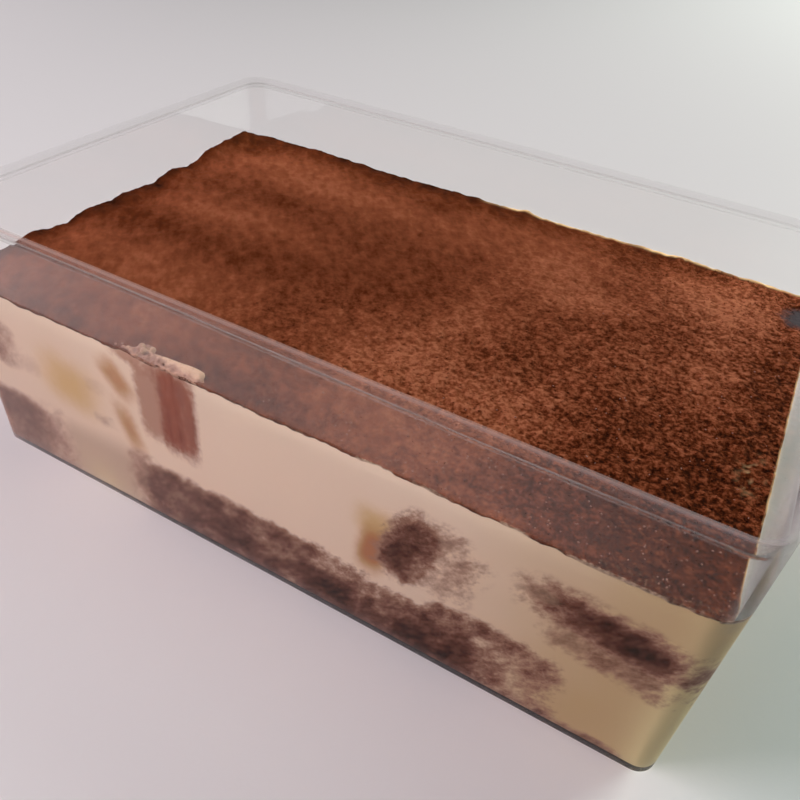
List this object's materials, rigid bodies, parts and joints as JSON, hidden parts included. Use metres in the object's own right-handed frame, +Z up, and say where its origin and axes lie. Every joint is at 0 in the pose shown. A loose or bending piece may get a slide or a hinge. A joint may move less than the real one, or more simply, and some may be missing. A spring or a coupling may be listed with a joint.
{
  "type": "tiramisu in a clear tray",
  "caption": "Layered coffee and cream dessert dusted with cocoa, in an open rectangular clear plastic tray whose walls show its soaked sponge fingers.",
  "frame": {"origin": "middle of the tray's underside", "axes": "+X along the tray's long side, +Y towards the back wall, +Z up out of the open top"},
  "size_m": [0.132, 0.085, 0.05],
  "materials": {
    "clear_plastic": "clear, smooth, glossy",
    "cream": "smooth, moist",
    "cocoa": "dry dusted powder",
    "soaked_sponge": "moist open crumb",
    "dry_sponge": "dry crumb"
  },
  "bodies": {
    "root": {"tray": "clear_plastic", "cream": "cream", "cocoa": "cocoa", "cocoa_smear": "cocoa", "sponge_bottom_left": "soaked_sponge", "sponge_bottom_middle": "soaked_sponge", "sponge_bottom_right": "soaked_sponge", "sponge_upper_left": "soaked_sponge", "sponge_upper_dry": "dry_sponge", "sponge_upper_middle": "soaked_sponge", "sponge_upper_right": "soaked_sponge"}
  },
  "joints": []
}
